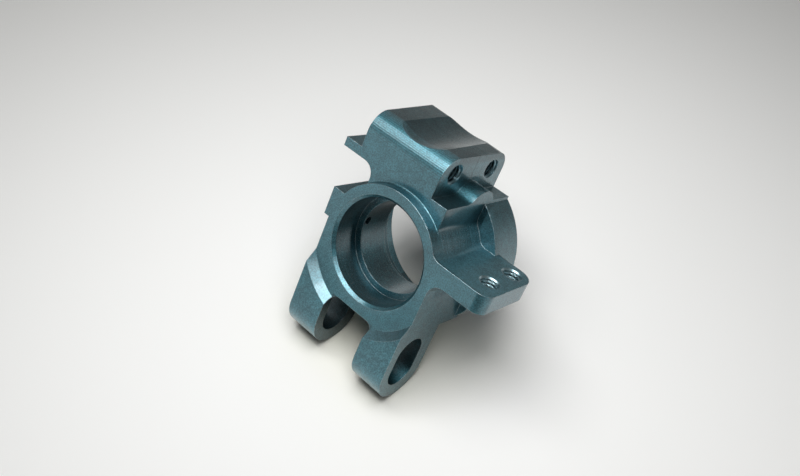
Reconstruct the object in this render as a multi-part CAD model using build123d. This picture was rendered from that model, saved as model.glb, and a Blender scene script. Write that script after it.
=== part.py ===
from build123d import *
import os
from math import sqrt

# A steering knuckle for a 1/10 scale car, machined from one piece of aluminium.
# Y runs along the axle bore from the front face to the rear, X to the right and Z up from legs to head.
# The origin is where the bore axis meets the front face. All sizes are in mm.

# Hub and the stepped axle bore
hub_r = 9.35
hub_length = 17.5
front_seat_r = 7.5
front_seat_depth = 4.7
land_r = 6.5
land_end = 10.2
relief_r = 8.2
rear_seat_r = 10.5
rear_seat_depth = 4.5
mouth_chamfer = 0.45
rear_chamfer = 0.3
vent_r = 0.62
vent_y = 5.5
vent_z = 0.2

# Rear flange round the larger bearing
flange_r = 11.72
flange_front = 11.4

# Body under the hub, the left shelf and the right tab
body_bottom = -7.5
shelf_left = -10.24
shelf_top = 4.35
side_depth = 12.45
tab_right = 17.25
tab_bottom = 1.75
tab_top = 4.5
tab_front_r = 1.7
tab_back_r = 2.5
tab_top_blend = 1.5
tab_under_blend = 2.0
tab_hole_x = 14.8
tab_hole_front = 4.2
tab_hole_pitch = 5.7

# Legs
leg_front = -1.19
leg_back = 7.8
leg_bottom = -18.9
leg_gap = 7.8
gap_top = -9.5
gap_corner_r = 1.2
step_r_inner = 10.75
step_r_outer = 11.88
slot_r = 2.65
slot_y = 2.95
slot_z_top = -11.3
slot_z_bottom = -14.1

# Head: neck, shoulder, fin and link block
head_front = 1.85
boss_blend = 0.2
neck_left = -6.6
neck_blend = 1.0
shoulder_blend = 1.6
shoulder_right = 6.15
shoulder_top = 10.4
fin_left = -12.5
fin_bottom = 9.4
fin_top = 10.75
fin_blend = 1.8
block_left_front = -9.7
block_left_back = -10.7
block_right = 3.35
block_top = 16.1
block_front_r = 3.0
block_back_r_left = 1.4
block_back_r_right = 2.7
scallop_left = -6.9
scallop_right = 0.85
scallop_depth = 0.77
scallop_turn = 2.0
rib_y = 10.4
rib_z = 8.9
rib_r = 3.2
rib_blend = 1.5
link_hole_front = 5.2
link_hole_pitch = 9.0
link_hole_z = 13.65
link_hole_depth = 7.0

# M3 threads: the wall stands at the major radius
thread_r = 1.5
drill_tip = 0.85

# How far a cutting shape runs past the metal that it cuts
overcut = 1.0


def along_y(outline, y0, y1):
    """Push an X-Z outline from y0 to y1."""
    return Pos(0, y0, 0) * extrude(Plane.XZ * outline, amount=y1 - y0, dir=(0, 1, 0))


def along_x(outline, x0, x1):
    """Push a Y-Z outline from x0 to x1."""
    return Pos(x0, 0, 0) * extrude(Plane.YZ * outline, amount=x1 - x0, dir=(1, 0, 0))


def box_outline(u0, v0, u1, v1):
    return Pos((u0 + u1) / 2, (v0 + v1) / 2) * Rectangle(u1 - u0, v1 - v0)


def round_corner(outline, u, v, radius):
    """Round the corner of an outline that lies nearest to (u, v)."""
    corner = min(outline.vertices(), key=lambda p: (p.X - u) ** 2 + (p.Y - v) ** 2)
    return fillet(corner, radius)


def side_of_circle(radius, other):
    """How far out a circle about the bore axis stands at a height or offset."""
    return sqrt(radius**2 - other**2)


def body():
    """Hub, the block below it, the left shelf and the right tab, as one outline through the side depth."""
    outline = Circle(hub_r) + box_outline(-hub_r, body_bottom, 0, 0)
    outline += box_outline(0, body_bottom, hub_r, tab_bottom)
    outline += box_outline(shelf_left, 0, 0, shelf_top)
    outline += box_outline(0, tab_bottom, tab_right, tab_top)
    outline = round_corner(outline, side_of_circle(hub_r, tab_top), tab_top, tab_top_blend)
    outline = round_corner(outline, hub_r, tab_bottom, tab_under_blend)
    solid = along_y(outline, 0, side_depth)
    corners = solid.edges().filter_by(Axis.Z).group_by(Axis.X)[-1].sort_by(Axis.Y)
    solid = fillet(corners[0], tab_front_r)
    back = solid.edges().filter_by(Axis.Z).sort_by(lambda e: -(e.center().X + e.center().Y))[0]
    return fillet(back, tab_back_r)


def hub():
    """Hub ring and rear flange, the flange cut level with the shoulder beside the link block."""
    flange = Circle(flange_r) - box_outline(block_right, shoulder_top, flange_r, flange_r + overcut)
    return along_y(Circle(hub_r), 0, hub_length) + along_y(flange, flange_front, hub_length)


def legs():
    """Two legs from one profile, parted by the gap, with a 45 degree step round the hub face."""
    leg_r = (leg_back - leg_front) / 2
    profile = box_outline(leg_front, leg_bottom + leg_r, leg_back, 0)
    profile += Pos(leg_front + leg_r, leg_bottom + leg_r) * Circle(leg_r)
    solid = along_x(profile, -hub_r, hub_r)
    gap = box_outline(-leg_gap / 2, leg_bottom - overcut, leg_gap / 2, gap_top)
    gap = round_corner(gap, -leg_gap / 2, gap_top, gap_corner_r)
    gap = round_corner(gap, leg_gap / 2, gap_top, gap_corner_r)
    solid -= along_y(gap, leg_front - overcut, leg_back + overcut)
    step = Polyline((0, leg_front), (step_r_outer, leg_front), (step_r_inner, 0), (0, 0), close=True)
    return solid - revolve(make_face(step), Axis.Y)


def leg_slots():
    profile = Pos(slot_y, slot_z_top) * Circle(slot_r) + Pos(slot_y, slot_z_bottom) * Circle(slot_r)
    profile += box_outline(slot_y - slot_r, slot_z_bottom, slot_y + slot_r, slot_z_top)
    return along_x(profile, -hub_r - overcut, hub_r + overcut)


def shoulder():
    """The shoulder over the hub, blended into it on both sides, with a half round rib across it."""
    outline = Circle(hub_r) + box_outline(neck_left, 0, shoulder_right, shoulder_top)
    outline = round_corner(outline, neck_left, side_of_circle(hub_r, neck_left), neck_blend)
    outline = round_corner(outline, shoulder_right, side_of_circle(hub_r, shoulder_right), shoulder_blend)
    solid = along_y(outline, head_front, hub_length)
    half_rib = sqrt(rib_r**2 - (shoulder_top - rib_z) ** 2)
    rib = box_outline(head_front, rib_z, hub_length, shoulder_top) + Pos(rib_y, rib_z) * Circle(rib_r)
    rib = round_corner(rib, rib_y - half_rib, shoulder_top, rib_blend)
    return solid + along_x(rib, neck_left + neck_blend, shoulder_right)


def boss_fillet():
    """A small hollow round where the hub ring stands proud of the head, only over the head."""
    ring = Polyline((hub_r - 1, head_front + 1), (hub_r + boss_blend, head_front + 1),
                    (hub_r + boss_blend, head_front), (hub_r, head_front - boss_blend),
                    (hub_r - 1, head_front - boss_blend), close=True)
    ring = make_face(ring) - Pos(hub_r + boss_blend, head_front - boss_blend) * Circle(boss_blend)
    reach = box_outline(neck_left, 0, shoulder_right, shoulder_top)
    return revolve(ring, Axis.Y) & along_y(reach, 0, head_front + 0.5)


def link_block():
    """Neck, fin and link block as one outline from the front, rounded over its front and back edges."""
    outline = box_outline(neck_left, 0, block_right, block_top)
    outline += box_outline(block_left_back, fin_top, block_right, block_top)
    outline += box_outline(fin_left, fin_bottom, 0, fin_top)
    outline = round_corner(outline, neck_left, fin_bottom, fin_blend)
    side = box_outline(head_front, 0, hub_length, block_top)
    side = round_corner(side, head_front, block_top, block_front_r)
    solid = along_y(outline, head_front, hub_length) & along_x(side, fin_left - overcut, block_right + overcut)
    return solid - back_rounding() - left_end_slant() - scallop()


def back_rounding():
    """The metal outside the round of the block's top back edge, whose radius grows from left to right."""
    growth = (block_back_r_right - block_back_r_left) / (block_right - block_left_back)
    sections = []
    for x, radius in ((block_left_back - overcut, block_back_r_left - growth * overcut),
                      (block_right + overcut, block_back_r_right + growth * overcut)):
        y, z = hub_length - radius, block_top - radius
        corner = box_outline(y, z, hub_length + overcut, block_top + overcut) - Pos(y, z) * Circle(radius)
        sections.append(Pos(x, 0, 0) * (Plane.YZ * corner))
    return loft(sections, ruled=True)


def left_end_slant():
    """The wedge taken off the block's left end, above the fin."""
    outside = block_left_back - overcut
    wedge = Polyline((outside, head_front), (block_left_front, head_front),
                     (block_left_back, hub_length), (outside, hub_length), close=True)
    return Pos(0, 0, fin_top) * extrude(make_face(wedge), amount=block_top - fin_top + overcut)


def scallop():
    """A shallow round trough along the top of the block, turned a little in plan."""
    half = (scallop_right - scallop_left) / 2
    radius = (half**2 + scallop_depth**2) / (2 * scallop_depth)
    reach = (hub_length - head_front) / 2 + overcut
    trough = along_y(Pos(0, block_top - scallop_depth + radius) * Circle(radius), -reach, reach)
    middle = Pos((scallop_left + scallop_right) / 2, (head_front + hub_length) / 2, 0)
    return middle * Rot(0, 0, scallop_turn) * trough


def axle_bore():
    """The stepped bore for both bearings, turned about the bore axis."""
    rear_seat = hub_length - rear_seat_depth
    outline = Polyline((0, -overcut), (front_seat_r + mouth_chamfer + overcut, -overcut),
                       (front_seat_r, mouth_chamfer),
                       (front_seat_r, front_seat_depth), (land_r, front_seat_depth), (land_r, land_end),
                       (relief_r, land_end), (relief_r, rear_seat), (rear_seat_r, rear_seat),
                       (rear_seat_r, hub_length - rear_chamfer),
                       (rear_seat_r + rear_chamfer + overcut, hub_length + overcut),
                       (0, hub_length + overcut), close=True)
    return revolve(make_face(outline), Axis.Y)


def vent():
    """A fine drilling from the left side into the bore, just behind the front bearing."""
    return along_x(Pos(vent_y, vent_z) * Circle(vent_r), shelf_left - overcut, -land_r + 0.5)


def threaded_hole(depth):
    """An M3 hole that opens at the origin and runs down the -Z axis."""
    outline = Polyline((0, overcut), (thread_r, overcut), (thread_r, -depth), (0, -depth - drill_tip), close=True)
    return revolve(Plane.XZ * make_face(outline), Axis.Z)


def tab_holes():
    mouths = [tab_hole_front, tab_hole_front + tab_hole_pitch]
    depth = tab_top - tab_bottom + overcut
    holes = [Pos(tab_hole_x, y, tab_top) * threaded_hole(depth) for y in mouths]
    return holes[0] + holes[1]


def link_holes():
    mouths = [link_hole_front, link_hole_front + link_hole_pitch]
    holes = [Pos(block_right, y, link_hole_z) * Rot(0, 90, 0) * threaded_hole(link_hole_depth) for y in mouths]
    return holes[0] + holes[1]


knuckle = body() + hub() + legs() + shoulder() + boss_fillet() + link_block()
knuckle = knuckle - axle_bore() - vent() - leg_slots() - tab_holes() - link_holes()
knuckle.label = "steering_knuckle"

os.makedirs("parts", exist_ok=True)
export_step(knuckle, "parts/steering_knuckle.step")
print("solids", len(knuckle.solids()), "volume mm3", round(knuckle.volume, 1), "box", knuckle.bounding_box())
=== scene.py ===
# %% [markdown]
# # A small steering knuckle in teal anodised aluminium
#
# The real object is a suspension part for a 1/10 scale car, about 30 x 19 x 35 mm. It is milled and
# turned from one piece of aluminium, blasted with fine glass beads and anodised a dark teal.
# A CAD model already gives its exact shape. This lesson loads that shape, sets up the photographer's
# camera and light round it, and then spends its time on what CAD leaves out: the finish of the
# metal, its tool marks, the broken edges and the screw threads.

# %% Load the CAD model as a fixed frame
from math import cos, pi, sin

import bpy
from mathutils import Matrix, Vector


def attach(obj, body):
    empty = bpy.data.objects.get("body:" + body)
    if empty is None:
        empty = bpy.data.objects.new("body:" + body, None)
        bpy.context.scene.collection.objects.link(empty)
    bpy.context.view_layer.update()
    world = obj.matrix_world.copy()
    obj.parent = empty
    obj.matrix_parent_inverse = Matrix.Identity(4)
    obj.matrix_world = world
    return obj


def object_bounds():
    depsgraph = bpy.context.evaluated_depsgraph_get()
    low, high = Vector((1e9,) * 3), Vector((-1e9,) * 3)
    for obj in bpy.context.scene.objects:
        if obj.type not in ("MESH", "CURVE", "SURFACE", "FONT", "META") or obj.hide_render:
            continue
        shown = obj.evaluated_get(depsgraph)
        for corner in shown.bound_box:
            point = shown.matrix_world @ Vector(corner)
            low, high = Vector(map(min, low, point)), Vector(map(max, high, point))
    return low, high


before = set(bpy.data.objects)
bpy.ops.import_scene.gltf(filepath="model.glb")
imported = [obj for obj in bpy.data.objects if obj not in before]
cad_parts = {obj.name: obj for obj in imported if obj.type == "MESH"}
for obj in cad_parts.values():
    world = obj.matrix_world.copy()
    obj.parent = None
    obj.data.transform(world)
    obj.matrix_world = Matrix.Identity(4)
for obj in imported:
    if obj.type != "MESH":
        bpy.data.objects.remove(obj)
cad_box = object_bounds()
print("CAD box in mm", [[round(c * 1000, 2) for c in corner] for corner in cad_box])

# %% [markdown]
# ## One ruler for the whole lesson
#
# Blender works in metres and this part is measured in millimetres. A distance could be typed as
# 0.0145 each time, but such numbers are hard to check against a drawing. A constant `mm` keeps
# the drawing's numbers readable: `14.5 * mm`.

# %% A millimetre, and the part's own corners
mm = 0.001
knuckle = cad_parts["steering_knuckle"]
lowest, highest = cad_box
print("the knuckle's mesh has", len(knuckle.data.polygons), "faces")

# %% [markdown]
# ## The camera
#
# The photograph was taken from above, to the right and in front, from a little over a hand's width
# away. The lens and the camera's place could be judged by eye, but small errors show at once where
# the bore's ellipses nest in each other. Here they were worked out from the CAD edges, and are given
# as a place, a turn and a focal length.

# %% Place the camera
def put(name, data):
    """Make an object from its data and place it in the scene."""
    made = bpy.data.objects.new(name, data)
    bpy.context.scene.collection.objects.link(made)
    return made


camera_data = bpy.data.cameras.new("camera")
camera_data.sensor_fit = "HORIZONTAL"
camera_data.sensor_width = 36.0
camera_data.lens = 38.447
camera_data.clip_start = 5 * mm
camera_data.clip_end = 5.0
camera = put("camera", camera_data)
bpy.context.scene.camera = camera
camera.location = Vector((51.765, -87.728, 52.346)) * mm
turn = Vector((1.8081, 0.8979, -0.0648))
world_to_camera = Matrix.Rotation(turn.length, 3, turn.normalized())
right, down, ahead = world_to_camera.row
camera.rotation_mode = "QUATERNION"
camera.rotation_quaternion = Matrix((right, -down, -ahead)).transposed().to_quaternion()
print("camera is", round(camera.location.length / mm), "mm from the bore's mouth")

# %% [markdown]
# ## The table it lies on
#
# The knuckle doesn't stand up by itself. It leans back and rests on the round ends of its legs and
# on the lowest point of its rear flange. The part could be turned to lie on a level floor,
# but a CAD part never moves here. So the floor is tilted to touch those three places, and every
# shadow then falls where it should.

# %% Find the plane that touches the legs and the flange
leg_end_r, flange_r = 4.495 * mm, 11.72 * mm
tilt = 28.84 * pi / 180
across = Vector((1, 0, 0))
floor_up = Vector((0, -sin(tilt), cos(tilt)))
floor_back = Vector((0, cos(tilt), sin(tilt)))
leg_end = Vector((0, lowest.y + leg_end_r, lowest.z + leg_end_r))
leg_contact = leg_end - floor_up * leg_end_r
flange_contact = Vector((0, highest.y, -flange_r))
gap = (flange_contact - leg_contact).dot(floor_up)
print("the flange clears the leg's floor by", round(gap / mm, 3), "mm")

# %% [markdown]
# ## A paper floor
#
# The ground is a sheet of pale, slightly warm paper, lit more in the middle than at the corners. A flat
# colour would look empty, so a fine noise gives it a paper grain. A round gradient darkens it away from
# the middle: a painted pool of light, lighter where the lamps fall and darker towards the corners. A
# photo of paper could be laid on instead, but nodes stay sharp at any distance.
#
# Every finish in this lesson is a tree of nodes. Four helpers keep the code short: one fills a socket
# with a number or a link, one makes a node, one does a sum, and one empties a tree to build it anew.

# %% Helpers to write a node tree in short lines
def plug(tree, value, socket):
    """Fill a socket: with a link where the value is another socket, else with the value itself."""
    if isinstance(value, bpy.types.NodeSocket):
        tree.links.new(value, socket)
    else:
        socket.default_value = value


def add(tree, kind, **settings):
    """Make a shader node. Settings named like a property set it, the others fill its sockets."""
    made = tree.nodes.new("ShaderNode" + kind)
    for name, value in settings.items():
        if hasattr(made, name):
            setattr(made, name, value)
        else:
            plug(tree, value, made.inputs[name.replace("_", " ")])
    return made


def calc(tree, operation, *operands):
    """A Math node. Each operand is a number or a socket."""
    made = add(tree, "Math", operation=operation)
    for operand, socket in zip(operands, made.inputs):
        plug(tree, operand, socket)
    return made.outputs[0]


def new_tree(owner):
    """Give a material or a world an empty node tree."""
    owner.use_nodes = True
    owner.node_tree.nodes.clear()
    return owner.node_tree


paper = bpy.data.materials.new("pale_paper")
tree = new_tree(paper)
print(paper.name, "starts with", len(tree.nodes), "nodes")

# %% The paper's colour and grain
def ramp(tree, value, low, high, start=0.0, end=1.0, interpolation="LINEAR"):
    """A colour that goes from low to high while the value goes from start to end."""
    made = add(tree, "ValToRGB", Fac=value)
    made.color_ramp.interpolation = interpolation
    for element, position, colour in zip(made.color_ramp.elements, (start, end), (low, high)):
        element.position = position
        element.color = (*colour, 1)
    return made.outputs["Color"]


place = add(tree, "TexCoord").outputs["Object"]
pool = add(tree, "Mapping", Vector=place, Scale=(3.4, 3.4, 1), Location=(-0.04, 0, 0)).outputs[0]
middle = add(tree, "TexGradient", gradient_type="SPHERICAL", Vector=pool).outputs["Fac"]
# Painted pool of light: the paper is painted lighter in the middle and darker towards the corners.
pool_corner_shade, pool_middle_light = (0.57, 0.57, 0.54), (0.96, 0.96, 0.95)
tone = ramp(tree, middle, pool_corner_shade, pool_middle_light, interpolation="EASE")
fibres = add(tree, "TexNoise", Vector=place, Scale=1400.0, Detail=4.0).outputs["Fac"]
grain = add(tree, "Bump", Strength=0.08, Distance=0.05 * mm, Height=fibres).outputs[0]
print("the paper's tone goes from", pool_corner_shade, "to", pool_middle_light)

# %% [markdown]
# Close under the part the paper looks warmer, as light that has bounced a few times does, and a thin
# dark line lies along the left of each foot, where the foot keeps the light from the right away.
# More bounces and samples would show some of it, at the cost of time. Two occlusion nodes, which
# measure how open a point lies, do both here. The one for the line looks to the right instead of
# straight up, and its result is squared to make the line darker.

# %% Warm and darken the paper close to the part
def openness(tree, reach, samples, **settings):
    """How open a point lies, from 0 to 1, as far as its reach."""
    return add(tree, "AmbientOcclusion", samples=samples, Distance=reach, **settings).outputs["AO"]


def product(tree, first, *others):
    for other in others:
        first = calc(tree, "MULTIPLY", first, other)
    return first


def tint(tree, colour, by, amount=1.0):
    """Multiply a colour by another one, or by a number."""
    made = add(tree, "MixRGB", blend_type="MULTIPLY", Fac=amount, Color1=colour, Color2=by)
    return made.outputs["Color"]


bounced_light = (0.93, 0.925, 0.82, 1)
under_part = calc(tree, "SUBTRACT", 1.0, openness(tree, 14 * mm, 8))
warmed = tint(tree, tone, bounced_light, under_part)
to_light = floor_up * 0.55 + across * 0.85
look = add(tree, "CombineXYZ", X=to_light.x, Y=to_light.y, Z=to_light.z).outputs[0]
at_foot = openness(tree, 1.5 * mm, 8, Normal=look)
paper_colour = tint(tree, warmed, product(tree, at_foot, at_foot))
matt = add(tree, "BsdfDiffuse", Roughness=1.0, Color=paper_colour, Normal=grain).outputs[0]
print("the dark line is read towards", [round(c, 2) for c in to_light.normalized()])

# %% [markdown]
# Far off, where the lamps no longer reach, the sheet fades into the backdrop's tone, so no dark rim
# shows behind the part. The backdrop is drawn for the camera's own rays and for those that went on
# from the metal. So the metal mirrors what the camera sees, while the paper isn't lit by it. A white
# world would be simpler, but it would light the part from all sides and wash its shadow out.
# The sheet is painted on its upper side only: seen from below it is clear, so a camera under the
# tilted floor still sees the part.

# %% Fade the far paper and clear its underside
def seen_or_mirrored(tree):
    """1 for a ray from the camera, or for one that went on from metal or through glass."""
    ray = add(tree, "LightPath").outputs
    mirrored = calc(tree, "MAXIMUM", ray["Is Glossy Ray"], ray["Is Transmission Ray"])
    return calc(tree, "MAXIMUM", ray["Is Camera Ray"], mirrored)


def remap(tree, value, low, high, to_low=0, to_high=1):
    """Turn values from low to high into values from to_low to to_high, with soft ends."""
    made = add(tree, "MapRange", interpolation_type="SMOOTHSTEP", Value=value,
               From_Min=low, From_Max=high, To_Min=to_low, To_Max=to_high)
    return made.outputs["Result"]


def mix_shaders(tree, amount, first, second):
    made = add(tree, "MixShader", Fac=amount)
    tree.links.new(first, made.inputs[1])
    tree.links.new(second, made.inputs[2])
    return made.outputs[0]


backdrop_tone = (0.16, 0.16, 0.155, 1)
haze = add(tree, "Emission", Color=backdrop_tone).outputs[0]
far_off = product(tree, remap(tree, middle, 0.35, 0.05), seen_or_mirrored(tree))
faded = mix_shaders(tree, far_off, matt, haze)
underside = add(tree, "NewGeometry").outputs["Backfacing"]
clear = add(tree, "BsdfTransparent").outputs[0]
add(tree, "OutputMaterial", Surface=mix_shaders(tree, underside, faded, clear))
print("paper has", len(tree.nodes), "nodes")

# %% Lay the sheet
half_sheet = 0.9
sheet = bpy.data.meshes.new("floor")
corners = [(-half_sheet, -half_sheet, 0), (half_sheet, -half_sheet, 0),
           (half_sheet, half_sheet, 0), (-half_sheet, half_sheet, 0)]
sheet.from_pydata(corners, [], [(0, 1, 2, 3)])
sheet.materials.append(paper)
floor = put("floor", sheet)
sheet_frame = Matrix((across, floor_back, floor_up)).transposed().to_4x4()
floor.matrix_world = Matrix.Translation(leg_contact - floor_up * 0.01 * mm) @ sheet_frame
print("floor tilts", round(tilt * 180 / pi, 2), "degrees")

# %% [markdown]
# ## Light
#
# Shiny metal shows its surroundings rather than its own colour, so the lamps matter more here than
# for wood or cloth. The highlights in the photograph tell where the light stood: a round face is
# brightest where it leans halfway between the camera and a lamp. The block's front rounding shines
# along one line and the sloped step of the left leg shines as a whole. Together they ask for a box
# straight over the table, one over its right side and a strong one high on the left. The front faces
# look low to the left and are a middle tone, so a fainter panel stands there, with a weak one beside
# it. Top faces look to the back and stay dark, so only one weak box stands behind. The room's grey
# backdrop does the rest, as the metal mirrors it.
#
# The strengths could be guessed by trial. It is surer to render the part once with each lamp alone,
# as light adds up, and to find the mix whose tones lie closest to the photograph's.

# %% Hang the soft boxes
aim = leg_contact + floor_up * 12 * mm


def soft_box(name, towards, distance, width, radiance):
    """A round area lamp that faces the part. Radiance is how bright its surface looks."""
    data = bpy.data.lights.new(name, "AREA")
    data.shape = "DISK"
    data.size = width
    area = pi * (width / 2) ** 2
    data.energy = radiance * area * pi
    lamp = put(name, data)
    lamp.location = aim + towards * distance
    lamp.rotation_mode = "QUATERNION"
    lamp.rotation_quaternion = towards.to_track_quat("Z", "Y")
    lamp.visible_camera = False
    print(name, "shines", round(data.energy, 3), "W")


# Each row: how far to the right, to the back and up it hangs, its distance and width, its radiance
for name, to_right, to_back, upwards, distance, width, radiance in (
        ("over_table", 0, 0, 1, 0.12, 0.10, 5.35),
        ("over_right", 0.46, -0.2, 0.85, 0.14, 0.08, 2.5),
        ("high_left", -0.5, -0.15, 0.86, 0.30, 0.08, 6.2),
        ("back_left", -0.45, 0.75, 0.49, 0.30, 0.20, 0.30),
        ("left", -0.9, 0.06, 0.4, 0.25, 0.20, 0.14),
        ("front_left", -0.6, -0.75, 0.12, 0.25, 0.30, 0.79)):
    towards = across * to_right + floor_back * to_back + floor_up * upwards
    soft_box(name, towards.normalized(), distance, width, radiance)

# %% The room's own glow and its backdrop
world = bpy.data.worlds.new("room")
bpy.context.scene.world = world
tree = new_tree(world)
glow = add(tree, "Background", Color=(0.01, 0.01, 0.01, 1)).outputs[0]
backdrop = add(tree, "Background", Color=backdrop_tone).outputs[0]
add(tree, "OutputWorld", Surface=mix_shaders(tree, seen_or_mirrored(tree), glow, backdrop))
bpy.context.scene.view_settings.view_transform = "Standard"
print("the backdrop's tone is", backdrop_tone[:3])

# %% [markdown]
# ## Anodised and blasted aluminium
#
# Anodising grows a thin clear oxide on the metal and fills its lower pores with dye. Light crosses the
# dye, meets the metal and comes back teal, while the glassy top reflects a little of the room
# uncoloured, and more of it at a flat angle. That is why the faces turned away
# from the camera look warm grey and the front looks teal. A painted plastic shader can't show
# this. The Principled shader can: a metal base in the dye's colour under a clear coat.
#
# The blasting leaves shallow dents a tenth of a millimetre wide, which is a noise in the bump. The
# oxide on top is smoother than the metal, so the coat follows the tool marks but hardly the dents. The
# dye takes a little unevenly, so the colour drifts too.

# %% Start the finish: millimetres as texture coordinates
def start_finish(name):
    material = bpy.data.materials.new(name)
    tree = new_tree(material)
    metres = add(tree, "TexCoord").outputs["Object"]
    ruler = add(tree, "Mapping", Vector=metres, Scale=(1 / mm, 1 / mm, 1 / mm))
    return material, tree, ruler.outputs[0]


def noise(tree, place, per_mm, detail, roughness=0.55):
    made = add(tree, "TexNoise", Vector=place, Scale=per_mm, Detail=detail, Roughness=roughness)
    return made.outputs["Fac"]


def coated_metal(tree, **settings):
    """Metal under the clear oxide of the anodising."""
    made = add(tree, "BsdfPrincipled", Metallic=1.0, Coat_Weight=0.65, Coat_IOR=1.77, **settings)
    return made.outputs[0]


anodised, tree, place = start_finish("anodised_aluminium_blasted")
print("texture unit is one millimetre")

# %% The dye: slow drift and fine speckle
dye_dark, dye_light = (0.050, 0.153, 0.188), (0.061, 0.191, 0.233)
drift = remap(tree, noise(tree, place, 0.16, 3), 0.3, 0.7)
dye = ramp(tree, drift, dye_dark, dye_light)
speckle = noise(tree, place, 5.5, 2, 0.6)
fleck_dark, fleck_light = (0.68, 0.68, 0.68), (1.30, 1.30, 1.30)
dye = tint(tree, dye, ramp(tree, speckle, fleck_dark, fleck_light, 0.35, 0.65))
print("dye from", dye_dark, "to", dye_light)

# %% [markdown]
# ## Broken edges
#
# Blasting and tumbling leave every sharp edge a tenth of a millimetre round. Such an edge always finds a
# direction that reflects the lamp, which gives fine bright lines. The edges could be rounded in the
# mesh, but hundreds of thin slivers would follow. The Bevel node only turns the normal near an edge, at
# no cost in faces. Where it turns the normal and nothing crowds the surface, the edge is an outer one,
# and there the colour is made a little lighter: partly worn dye, partly a painted highlight that makes
# the bright lines stronger. Where it turns the normal and the surface is crowded, the corner is an inner
# one, and in the bore and at the flange a painted highlight lies along it, a bright line of reflected
# light. A wider occlusion finds the deep hollows, which are painted darker: painted shade.

# %% Find the outer edges, the inner corners and the hollows
edge_radius = 0.15 * mm
rounded = add(tree, "Bevel", samples=6, Radius=edge_radius).outputs[0]
flat = add(tree, "NewGeometry").outputs["Normal"]
likeness = add(tree, "VectorMath", operation="DOT_PRODUCT")
plug(tree, rounded, likeness.inputs[0])
plug(tree, flat, likeness.inputs[1])
turned = remap(tree, likeness.outputs["Value"], 0.99, 0.86)
open_air = remap(tree, openness(tree, 0.35 * mm, 6), 0.80, 0.97)
patchy = remap(tree, noise(tree, place, 1.6, 3), 0.38, 0.62, 0.25, 1)
# Outer edges: partly worn dye, partly a painted highlight that strengthens the bright edge lines.
wear_and_highlight = product(tree, turned, open_air, patchy)
inner_corner = product(tree, turned, calc(tree, "SUBTRACT", 1.0, open_air), patchy)
# Painted shade: the colour darkens where the part closes round a point.
hollow_shade = remap(tree, openness(tree, 9 * mm, 6), 0.05, 0.60, 0.25, 1)
print("edges are read within", edge_radius / mm, "mm")

# %% [markdown]
# ## Tool marks
#
# The tools left their traces under the blasting. A ball end mill went back and forth over the front
# rounding of the block and left fine lines 0.3 mm apart. The lathe left rings in the bore and on the
# flange. A facing cutter swept over the front faces and left arcs that are only just seen. And on the
# block's right end two passes of the mill meet at a faint line between the screw holes. Each could
# be an image map, but the marks follow the geometry, so a few sums on the coordinates place them
# exactly.
#
# A mask is a number between 0 and 1 that says where a mark or a finish lies. Each one below is made
# from the part's own sizes, and fades at its border over a fraction of a millimetre. The coordinates
# start where the bore's axis meets the hub's front face: x runs to the right, y to the back, z up.

# %% Lines of the ball mill round the block's front edge
def hypotenuse(tree, run, rise):
    """The length of a slanted line, from its run and its rise."""
    squares = calc(tree, "ADD", product(tree, run, run), product(tree, rise, rise))
    return calc(tree, "SQRT", squares)


x_mm, y_mm, z_mm = add(tree, "SeparateXYZ", Vector=place).outputs
round_y, round_z, round_r, mill_step = 4.85, 13.1, 3.0, 0.30
in_front = calc(tree, "SUBTRACT", round_y, y_mm)
above = calc(tree, "SUBTRACT", z_mm, round_z)
angle = calc(tree, "ARCTAN2", above, in_front)
waver = product(tree, noise(tree, place, 0.9, 2), 2.5)
mill_phase = calc(tree, "ADD", product(tree, angle, round_r * 2 * pi / mill_step), waver)
on_curve = remap(tree, hypotenuse(tree, in_front, above), round_r - 0.4, round_r - 0.15)
before_middle = remap(tree, y_mm, round_y + 0.15, round_y - 0.35)
over_middle = remap(tree, z_mm, round_z - 0.4, round_z + 0.3)
on_round = product(tree, before_middle, over_middle, on_curve)
mill_lines = product(tree, calc(tree, "SINE", mill_phase), on_round)
print("mill lines are", mill_step, "mm apart")

# %% Rings of the lathe in the bore and on the flange
hub_r, relief_r, flange_y = 9.35, 8.2, 11.4
rim_r = flange_r / mm
radius = hypotenuse(tree, x_mm, z_mm)
feed = add(tree, "CombineXYZ", X=product(tree, radius, 7.0), Y=product(tree, y_mm, 7.0)).outputs[0]
rings = noise(tree, feed, 0.6, 3, 0.7)
in_bore = remap(tree, radius, relief_r + 0.3, relief_r + 0.1)
at_rim = remap(tree, radius, rim_r - 0.22, rim_r - 0.07)
on_flange = product(tree, at_rim, remap(tree, y_mm, flange_y - 0.1, flange_y + 0.2))
lathe_lines = product(tree, rings, calc(tree, "MAXIMUM", in_bore, on_flange))
print("the lathe's rings are read from the distance to the bore's axis")

# %% Arcs of the facing cutter on the front faces
sweep_x, sweep_z = 16.0, -20.0
facing = add(tree, "SeparateXYZ", Vector=flat).outputs
facing_front = remap(tree, facing[1], -0.90, -0.98)
from_x = calc(tree, "SUBTRACT", x_mm, sweep_x)
from_z = calc(tree, "SUBTRACT", z_mm, sweep_z)
from_centre = hypotenuse(tree, from_x, from_z)
swept = add(tree, "CombineXYZ", X=from_centre, Z=product(tree, z_mm, 0.06)).outputs[0]
arcs = remap(tree, noise(tree, swept, 3.2, 3, 0.7), 0.3, 0.7, -1, 1)
sweep = product(tree, arcs, facing_front)
print("the cutter swept about", sweep_x, sweep_z)

# %% The line where two passes meet on the block's right end
pass_y, block_right, end_low = 9.6, 3.35, 12.5
on_end_face = remap(tree, x_mm, block_right - 0.15, block_right - 0.05)
on_end = product(tree, on_end_face, remap(tree, z_mm, end_low - 0.3, end_low + 0.3))
pass_step = product(tree, remap(tree, y_mm, pass_y - 0.06, pass_y + 0.06), on_end)
before_pass = remap(tree, y_mm, pass_y - 0.14, pass_y - 0.02)
past_pass = remap(tree, y_mm, pass_y + 0.14, pass_y + 0.02)
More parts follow.
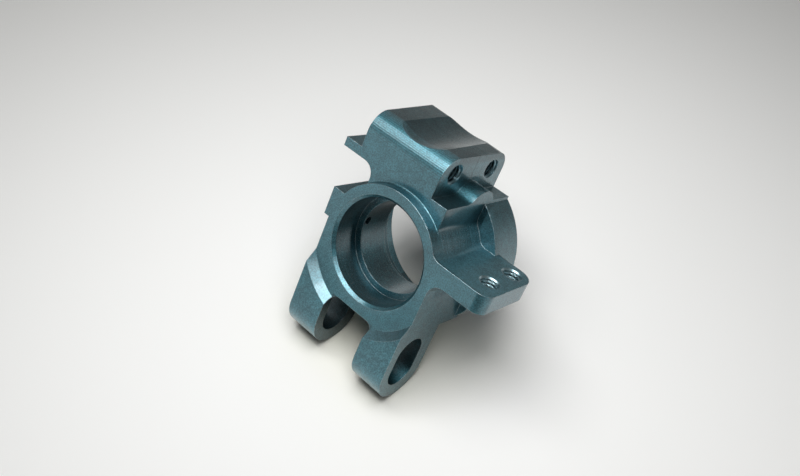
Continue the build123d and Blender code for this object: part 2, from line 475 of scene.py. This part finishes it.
# Painted shade: the groove beside the small step is painted darker.
pass_groove_shade = product(tree, before_pass, past_pass, on_end)
print("two passes meet at", pass_y, "mm behind the front face")

# %% [markdown]
# ## Places with their own finish, painted shade or painted light
#
# The same sums mark the places whose look differs a little. The pocket over the tab, beside the hub, is
# frosted more, and its colour is painted paler and kept out of the painted shade of the hollows: painted
# light. The block's top, the bore and the faces to the right are painted a little darker, the slots and
# the gap between the legs much darker: painted shade. The sloped steps and the top of the block's front
# rounding are painted paler: painted highlight. The lower end of the right slot is painted paler at its
# mouth, a painted reflection of the pale paper it faces. Large faint stains lie over everything, and a
# few bare specks sparkle in the bore. All these could be materials of their own, each given to some
# faces, but then a hard border would run round each place.

# %% The hub's side, the corners with a painted highlight and the frosted pocket
outside_hub = remap(tree, radius, hub_r - 0.20, hub_r - 0.05)
at_flange = product(tree, remap(tree, y_mm, flange_y - 0.35, flange_y - 0.15), outside_hub)
# Painted highlight: inner corners in the bore and at the flange are painted pale, a bright line of
# reflected light.
corner_glint = product(tree, inner_corner, calc(tree, "MAXIMUM", in_bore, at_flange))
head_front, side_depth, pocket_left, tab_top, shoulder_top = 1.85, 12.45, 7.0, 4.5, 10.4
near_hub = product(tree, outside_hub, remap(tree, radius, hub_r + 0.20, hub_r + 0.05))
before_flange = remap(tree, y_mm, flange_y - 0.05, flange_y - 0.10)
behind_boss = remap(tree, y_mm, head_front + 0.05, head_front + 0.45)
hub_side = product(tree, near_hub, before_flange, behind_boss)
off_hub = remap(tree, radius, hub_r - 0.25, hub_r - 0.15)
right_side = product(tree, remap(tree, x_mm, pocket_left - 0.1, pocket_left + 0.1), off_hub)
before_back = remap(tree, y_mm, side_depth - 0.05, side_depth - 0.15)
inside_ends = product(tree, remap(tree, y_mm, 0.1, 0.4), before_back)
above_tab = remap(tree, z_mm, tab_top - 0.10, tab_top - 0.05)
over_tab = product(tree, above_tab, remap(tree, z_mm, shoulder_top, shoulder_top - 0.05))
# The pocket is also painted paler further down, painted light.
pocket = product(tree, right_side, inside_ends, over_tab)
print("the pocket lies between", tab_top, "and", shoulder_top, "mm")

# %% The bore's seat, the block's top and the faces to the right
mouth_chamfer, block_top = 0.45, highest.z / mm
# The bore's seat is painted a little darker further down: painted shade.
in_seat = product(tree, in_bore, remap(tree, y_mm, mouth_chamfer - 0.05, mouth_chamfer + 0.15))
high = remap(tree, z_mm, block_top - 1.5, block_top - 0.6)
# Painted shade: the block's top is painted darker.
top_shade = product(tree, high, remap(tree, y_mm, round_y - 0.15, round_y + 0.25))
# Painted highlight: the upper part of the front rounding is painted paler.
round_highlight = product(tree, high, on_round)
# Faces turned to the right are painted darker further down: painted shade.
facing_right = remap(tree, facing[0], 0.80, 0.95)
print("the top's darker dye starts at", round(block_top - 1.5, 2), "mm")

# %% The slots, the gap between the legs and the sloped steps
slot_y, slot_top, slot_bottom, slot_r = 2.95, -11.3, -14.1, 2.65
above_end = calc(tree, "SUBTRACT", z_mm, slot_top)
below_end = calc(tree, "SUBTRACT", slot_bottom, z_mm)
past_end = calc(tree, "MAXIMUM", calc(tree, "MAXIMUM", above_end, below_end), 0.0)
off_middle = hypotenuse(tree, past_end, calc(tree, "SUBTRACT", y_mm, slot_y))
not_side = calc(tree, "SUBTRACT", 1.0, facing_right)
# The slots are painted much darker further down: painted shade.
in_slot = product(tree, remap(tree, off_middle, slot_r + 0.04, slot_r + 0.01), not_side)
low_end = remap(tree, z_mm, slot_bottom - 0.5, slot_bottom - 1.7)
at_mouth = remap(tree, x_mm, hub_r - 2.75, hub_r - 0.15)
back_half = remap(tree, y_mm, slot_y - 0.55, slot_y + 1.05)
# Painted reflection: the lower end of the right slot is painted paler, where it faces the pale paper.
slot_floor_reflection = product(tree, in_slot, low_end, at_mouth, back_half)
half_gap, gap_top, leg_front, step_r = 3.9, -9.5, lowest.y / mm, 11.88
between_legs = remap(tree, calc(tree, "ABSOLUTE", x_mm), half_gap + 0.05, half_gap + 0.01)
# Painted shade: the gap between the legs is painted much darker.
gap_shade = product(tree, between_legs, remap(tree, z_mm, gap_top + 0.1, gap_top - 0.1))
behind_front = remap(tree, y_mm, leg_front + 0.03, leg_front + 0.07)
before_hub = remap(tree, y_mm, -0.03, -0.08)
# Painted highlight: the sloped steps are painted paler.
step_highlight = product(tree, behind_front, before_hub, remap(tree, radius, step_r + 0.07, step_r + 0.02))
print("slots are", 2 * slot_r, "mm wide and the gap", 2 * half_gap, "mm")

# %% [markdown]
# ## Layer the finish
#
# The marks could be cut into the mesh, but they are a few hundredths of a millimetre deep at most, and
# only their shading shows. So each one is a height that bends the surface's direction, laid over the
# one before: the rounded edges first, then the tools' lines, then the dents. The oxide on top has the
# lines too, but it has dents only beside the hub and in the slots.
#
# Then the masks change the colour and the roughness, each by its own share. A list of masks and shares
# keeps that short, and lets one place be tuned without touching the others.

# %% Stack the bumps: edges first, then marks, then the blasting
def bump(tree, height, depth_mm, **settings):
    return add(tree, "Bump", Strength=1.0, Distance=depth_mm * mm, Height=height, **settings).outputs[0]


blast = noise(tree, place, 7.0, 3, 0.65)
marks = bump(tree, mill_lines, 0.007, Normal=rounded)
marks = bump(tree, lathe_lines, 0.02, Normal=marks)
marks = bump(tree, pass_step, 0.02, Normal=marks)
dented = bump(tree, blast, 0.022, Normal=marks)
rough_oxide = product(tree, blast, calc(tree, "MAXIMUM", hub_side, in_slot))
oxide = bump(tree, rough_oxide, 0.05, Normal=marks)
print("three layers of marks lie under the dents and the oxide")

# %% Paler metal on worn edges and specks, with painted highlights on edges, corners and steps
bare_metal_and_highlight, most_wear = (0.52, 0.62, 0.65, 1), 0.7
grit = remap(tree, noise(tree, place, 8.0, 0), 0.70, 0.76)
sparkle = product(tree, grit, calc(tree, "MAXIMUM", in_seat, hub_side))
bare_and_highlight = calc(tree, "MAXIMUM", wear_and_highlight, corner_glint)
# The sloped steps get a painted highlight and the pocket painted light here; the specks are paler metal.
for mask, share in ((step_highlight, 0.12), (pocket, 0.06), (sparkle, 0.5)):
    bare_and_highlight = calc(tree, "MAXIMUM", bare_and_highlight, product(tree, mask, share))
bare_and_highlight = product(tree, bare_and_highlight, most_wear)
# This mix is partly wear and partly painted highlight on edges, corners and steps.
worn = add(tree, "MixRGB", blend_type="MIX", Fac=bare_and_highlight, Color1=dye, Color2=bare_metal_and_highlight).outputs["Color"]
print("at most", most_wear, "of the dye is worn off")

# %% Darker and paler places
stain = remap(tree, noise(tree, place, 0.9, 4, 0.6), 0.35, 0.65, -1, 1)
in_turning = calc(tree, "MAXIMUM", hub_side, in_seat)
brushed = product(tree, remap(tree, rings, 0.3, 0.7, -1, 1), in_turning)
# Painted shade darkens the hollows, the block's top, the faces to the right, the bore's seat, the slots,
# the gap and the groove where two passes meet. Painted light brightens the top of the front rounding,
# the lower end of the right slot and the pocket. Tool lines, arcs, stains and rings are the metal's own
# tone.
shade = calc(tree, "MAXIMUM", hollow_shade, pocket)
changes = ((top_shade, -0.40), (round_highlight, 0.30), (facing_right, -0.28), (in_seat, -0.20),
           (in_slot, -0.62), (slot_floor_reflection, 3.2), (gap_shade, -0.45), (pocket, 0.12),
           (mill_lines, 0.16), (pass_groove_shade, -0.35), (sweep, 0.07), (stain, 0.09), (brushed, 0.22))
for mask, change in changes:
    shade = product(tree, shade, calc(tree, "ADD", 1.0, product(tree, mask, change)))
print(len(changes), "masks make the dye darker or paler")

# %% How matt each place is
smoothest, roughest = 0.34, 0.44
satin = remap(tree, blast, 0.3, 0.7, smoothest, roughest)
frosted = calc(tree, "MAXIMUM", hub_side, pocket)
for mask, change in ((wear_and_highlight, -0.12), (on_round, -0.03), (frosted, 0.20), (in_slot, 0.20)):
    satin = calc(tree, "ADD", satin, product(tree, mask, change))
print("roughness is", smoothest, "to", roughest, "on plain faces")

# %% Put the metal together
metal = coated_metal(tree, Base_Color=tint(tree, worn, shade), Roughness=satin, Normal=dented,
                     Coat_Normal=oxide, Coat_Roughness=0.15)
add(tree, "OutputMaterial", Surface=metal)
knuckle.data.materials[0] = anodised
print("finish has", len(tree.nodes), "nodes")

# %% [markdown]
# ## Screw threads
#
# The four M3 holes are tapped, and the near ones show two or three bright ridges. The CAD
# part leaves them plain, because a helix is heavy in a solid. A bump map of stripes would
# look right from far away, but a thread is deep for its width and its ridges hide each other. So
# each thread is a real mesh: a thin sleeve that sits in the hole, with its inner wall
# pushed in and out along the helix.

# %% The profile of an M3 thread
pitch = 0.5 * mm
crest_r, root_r, mouth_r, sleeve_r = 1.22 * mm, 1.47 * mm, 1.485 * mm, 1.53 * mm
ridge_half, flank = 0.44, 0.30


def thread_radius(phase):
    """Wall radius at a phase of 0 to 1 along one pitch: a flat root, a flank, a flat crest, a flank."""
    away = abs(phase - 0.5)
    share = min(max((ridge_half - away) / flank, 0), 1)
    return root_r + (crest_r - root_r) * share


print("crest", crest_r / mm, "root", root_r / mm, "mm")

# %% [markdown]
# The sleeve is a grid wrapped into a tube: loops of points down the hole for the inner wall,
# then one loop at each end of the outer wall, and faces between them. At the mouth and
# at the far end the ridge runs out into a small countersink, as a tap's lead does.

# %% Wrap loops of points into a closed tube
around, loops_per_pitch = 72, 12


def tube(name, loops):
    """A mesh whose faces join each loop of points to the next, and the last to the first."""
    faces = []
    for k in range(len(loops)):
        here, there = k * around, (k + 1) % len(loops) * around
        for i in range(around):
            j = (i + 1) % around
            faces.append((here + i, there + i, there + j, here + j))
    mesh = bpy.data.meshes.new(name)
    mesh.from_pydata([point for loop in loops for point in loop], [], faces)
    mesh.validate()
    mesh.update()
    return mesh


print("a loop has", around, "points, and one pitch of the thread has", loops_per_pitch, "loops")

# %% Build one sleeve
end_gap, run_out, run_out_slope = 0.01 * mm, 0.3 * mm, 0.9


def wall_radius(depth, length, phase):
    """The thread's radius at a depth, cut back to the countersinks at both ends."""
    near_end = min(depth, length - depth)
    floor_r = mouth_r - near_end * run_out_slope
    ceiling_r = root_r if near_end > run_out else mouth_r
    return min(max(thread_radius(phase % 1), floor_r), ceiling_r)


def thread_sleeve(name, mouth, inward, length):
    """A sleeve with its mouth at a point, running inward for its length in metres."""
    spoke = inward.orthogonal().normalized()
    other = inward.cross(spoke)

    def loop(depth, radius_at):
        turns = [i / around for i in range(around)]
        spokes = [spoke * cos(2 * pi * t) + other * sin(2 * pi * t) for t in turns]
        return [mouth + inward * depth + out * radius_at(t) for out, t in zip(spokes, turns)]

    steps = round(length / pitch * loops_per_pitch)
    depths = [end_gap + (length - 2 * end_gap) * k / steps for k in range(steps + 1)]
    loops = [loop(depth, lambda t: wall_radius(depth, length, depth / pitch + t)) for depth in depths]
    loops += [loop(depth, lambda t: sleeve_r) for depth in (length - end_gap, end_gap)]
    sleeve = put(name, tube(name, loops))
    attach(sleeve, "root")
    print(name, len(sleeve.data.polygons), "faces")
    return sleeve


print("the ridge runs out over", run_out / mm, "mm at each end")

# %% Tap the four holes
tab_x, tab_bottom, link_z, link_depth = 14.8, 1.75, 13.65, 6.9
tab_threads, link_threads = [], []
for name, y in (("thread_tab_front", 4.2), ("thread_tab_rear", 9.9)):
    mouth = Vector((tab_x, y, tab_top)) * mm
    tab_threads.append(thread_sleeve(name, mouth, Vector((0, 0, -1)), (tab_top - tab_bottom) * mm))
for name, y in (("thread_link_front", 5.2), ("thread_link_rear", 14.2)):
    mouth = Vector((block_right, y, link_z)) * mm
    link_threads.append(thread_sleeve(name, mouth, Vector((-1, 0, 0)), link_depth * mm))

# %% [markdown]
# A tap cuts cleaner than a blasting nozzle reaches, so the threads get their own finish: the same coat,
# smoother, with fine streaks instead of dents. It comes as a lit and a shaded copy: the tab's threads
# are painted pale so that they shine, a painted highlight, while those in the block are painted dark. In
# both the grooves between the ridges are painted darker still, as painted shade, where an occlusion node
# with a short reach finds them.

# %% Finish the threads
def tapped_finish(name, dark, light):
    tapped, tree, place = start_finish(name)
    along = add(tree, "Mapping", Vector=place, Scale=(1, 1, 3)).outputs[0]
    streaks = noise(tree, along, 6.0, 3)
    # Painted shade: the grooves between the ridges are darkened.
    groove_shade = remap(tree, openness(tree, 0.3 * mm, 6), 0.35, 0.75, 0.08, 1)
    metal = coated_metal(tree, Base_Color=tint(tree, ramp(tree, streaks, dark, light), groove_shade),
                         Roughness=remap(tree, streaks, 0.3, 0.7, 0.28, 0.36),
                         Normal=bump(tree, streaks, 0.006), Coat_Roughness=0.22)
    add(tree, "OutputMaterial", Surface=metal)
    return tapped


# The tab's copy is painted pale, a painted highlight; the block's copy is painted dark, as in shade.
tab_tapped_lit = tapped_finish("anodised_aluminium_tapped_tab", (0.25, 0.41, 0.46), (0.43, 0.60, 0.65))
link_tapped_shaded = tapped_finish("anodised_aluminium_tapped_link", (0.10, 0.20, 0.24), (0.18, 0.32, 0.37))
for sleeves, finish in ((tab_threads, tab_tapped_lit), (link_threads, link_tapped_shaded)):
    for sleeve in sleeves:
        sleeve.data.materials.append(finish)
print("threads use", tab_tapped_lit.name, "and", link_tapped_shaded.name)
